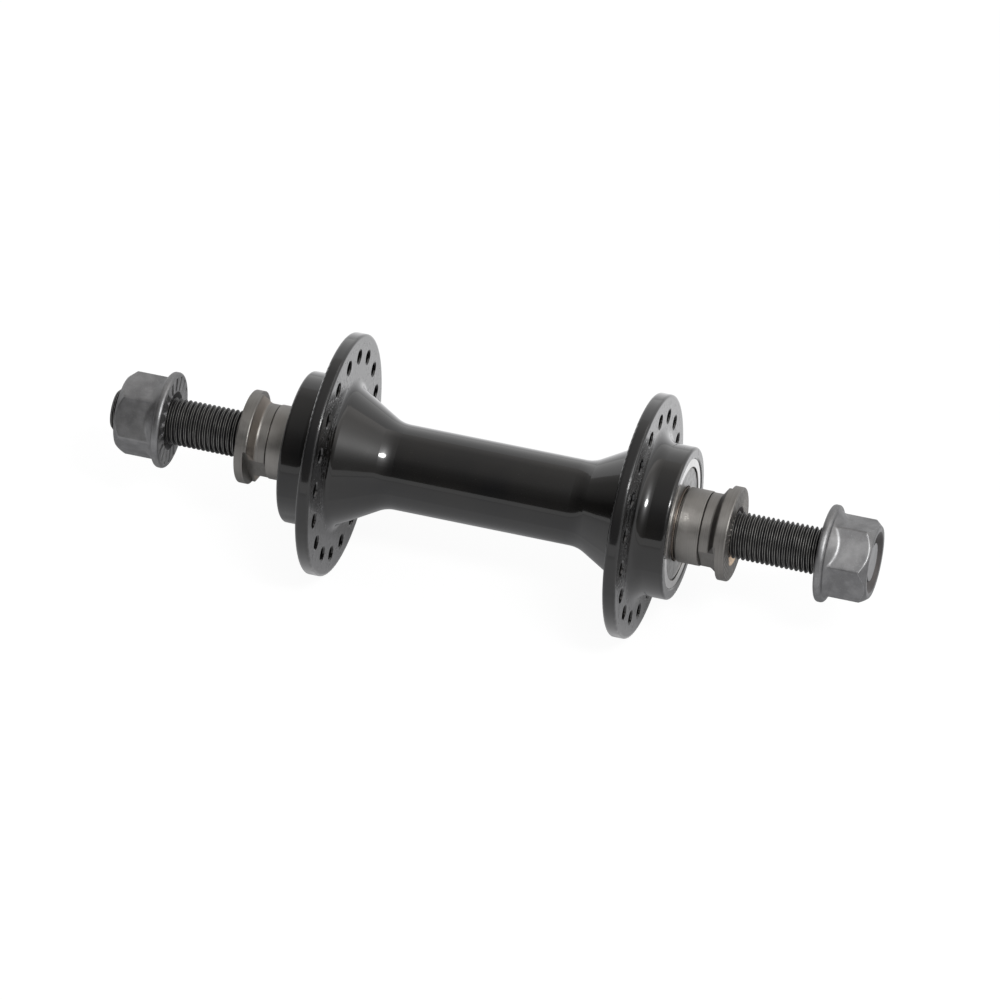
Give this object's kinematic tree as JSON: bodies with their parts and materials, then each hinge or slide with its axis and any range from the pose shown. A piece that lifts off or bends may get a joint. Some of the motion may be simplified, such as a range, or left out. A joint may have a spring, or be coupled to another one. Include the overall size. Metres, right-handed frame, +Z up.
{
  "type": "bicycle front hub",
  "caption": "Front hub for a small bicycle: slim flared shell with drilled spoke flanges on shielded ball bearings, solid threaded axle, flatted locknuts and flanged axle nuts",
  "frame": {"origin": "centre of the hub, on the axle's centre line, halfway between the two locknut faces", "axes": "+Y along the axle towards the right end, +Z up, +X forward"},
  "size_m": [0.0486, 0.1554, 0.0486],
  "materials": {
    "shell_black": "gloss black anodised alloy",
    "axle_steel": "black oxide on rolled steel thread",
    "sleeve_alloy": "plain turned alloy",
    "bearing_steel": "ground bearing steel",
    "cage_brass": "pressed brass",
    "shield_steel": "pressed steel, satin and slightly mottled",
    "turned_steel": "turned steel with a dull phosphate coat",
    "nut_steel": "forged steel with a dull grey coat"
  },
  "bodies": {
    "axle_assembly": {"axle": "axle_steel", "inner_sleeve": "sleeve_alloy", "left_inner_ring": "bearing_steel", "right_inner_ring": "bearing_steel", "left_spacer": "turned_steel", "right_spacer": "turned_steel", "left_locknut": "turned_steel", "right_locknut": "turned_steel"},
    "shell_assembly": {"hub_shell": "shell_black", "left_outer_ring": "bearing_steel", "right_outer_ring": "bearing_steel", "left_outer_shield": "shield_steel", "right_outer_shield": "shield_steel", "left_inner_shield": "shield_steel", "right_inner_shield": "shield_steel"},
    "left_ball_set": {"left_balls": "bearing_steel", "left_ball_cage": "cage_brass"},
    "right_ball_set": {"right_balls": "bearing_steel", "right_ball_cage": "cage_brass"},
    "left_nut": {"left_axle_nut": "nut_steel"},
    "right_nut": {"right_axle_nut": "nut_steel"}
  },
  "joints": [
    {"name": "hub_spin", "type": "hinge", "parent": "axle_assembly", "child": "shell_assembly", "pos_m": [0, 0, 0], "axis": [0, 1, 0], "continuous": true},
    {"name": "left_ball_set_spin", "type": "hinge", "parent": "axle_assembly", "child": "left_ball_set", "pos_m": [0, -0.03515, 0], "axis": [0, 1, 0], "continuous": true},
    {"name": "right_ball_set_spin", "type": "hinge", "parent": "axle_assembly", "child": "right_ball_set", "pos_m": [0, 0.03515, 0], "axis": [0, 1, 0], "continuous": true},
    {"name": "left_nut_travel", "type": "slide", "parent": "axle_assembly", "child": "left_nut", "axis": [0, -1, 0], "range_m": [-0.0152, 0.008]},
    {"name": "right_nut_travel", "type": "slide", "parent": "axle_assembly", "child": "right_nut", "axis": [0, 1, 0], "range_m": [-0.0175, 0.0055]}
  ],
  "couplings": [
    {"joint": "left_ball_set_spin", "follows": "hub_spin", "ratio": 0.63229},
    {"joint": "right_ball_set_spin", "follows": "hub_spin", "ratio": 0.63229}
  ]
}
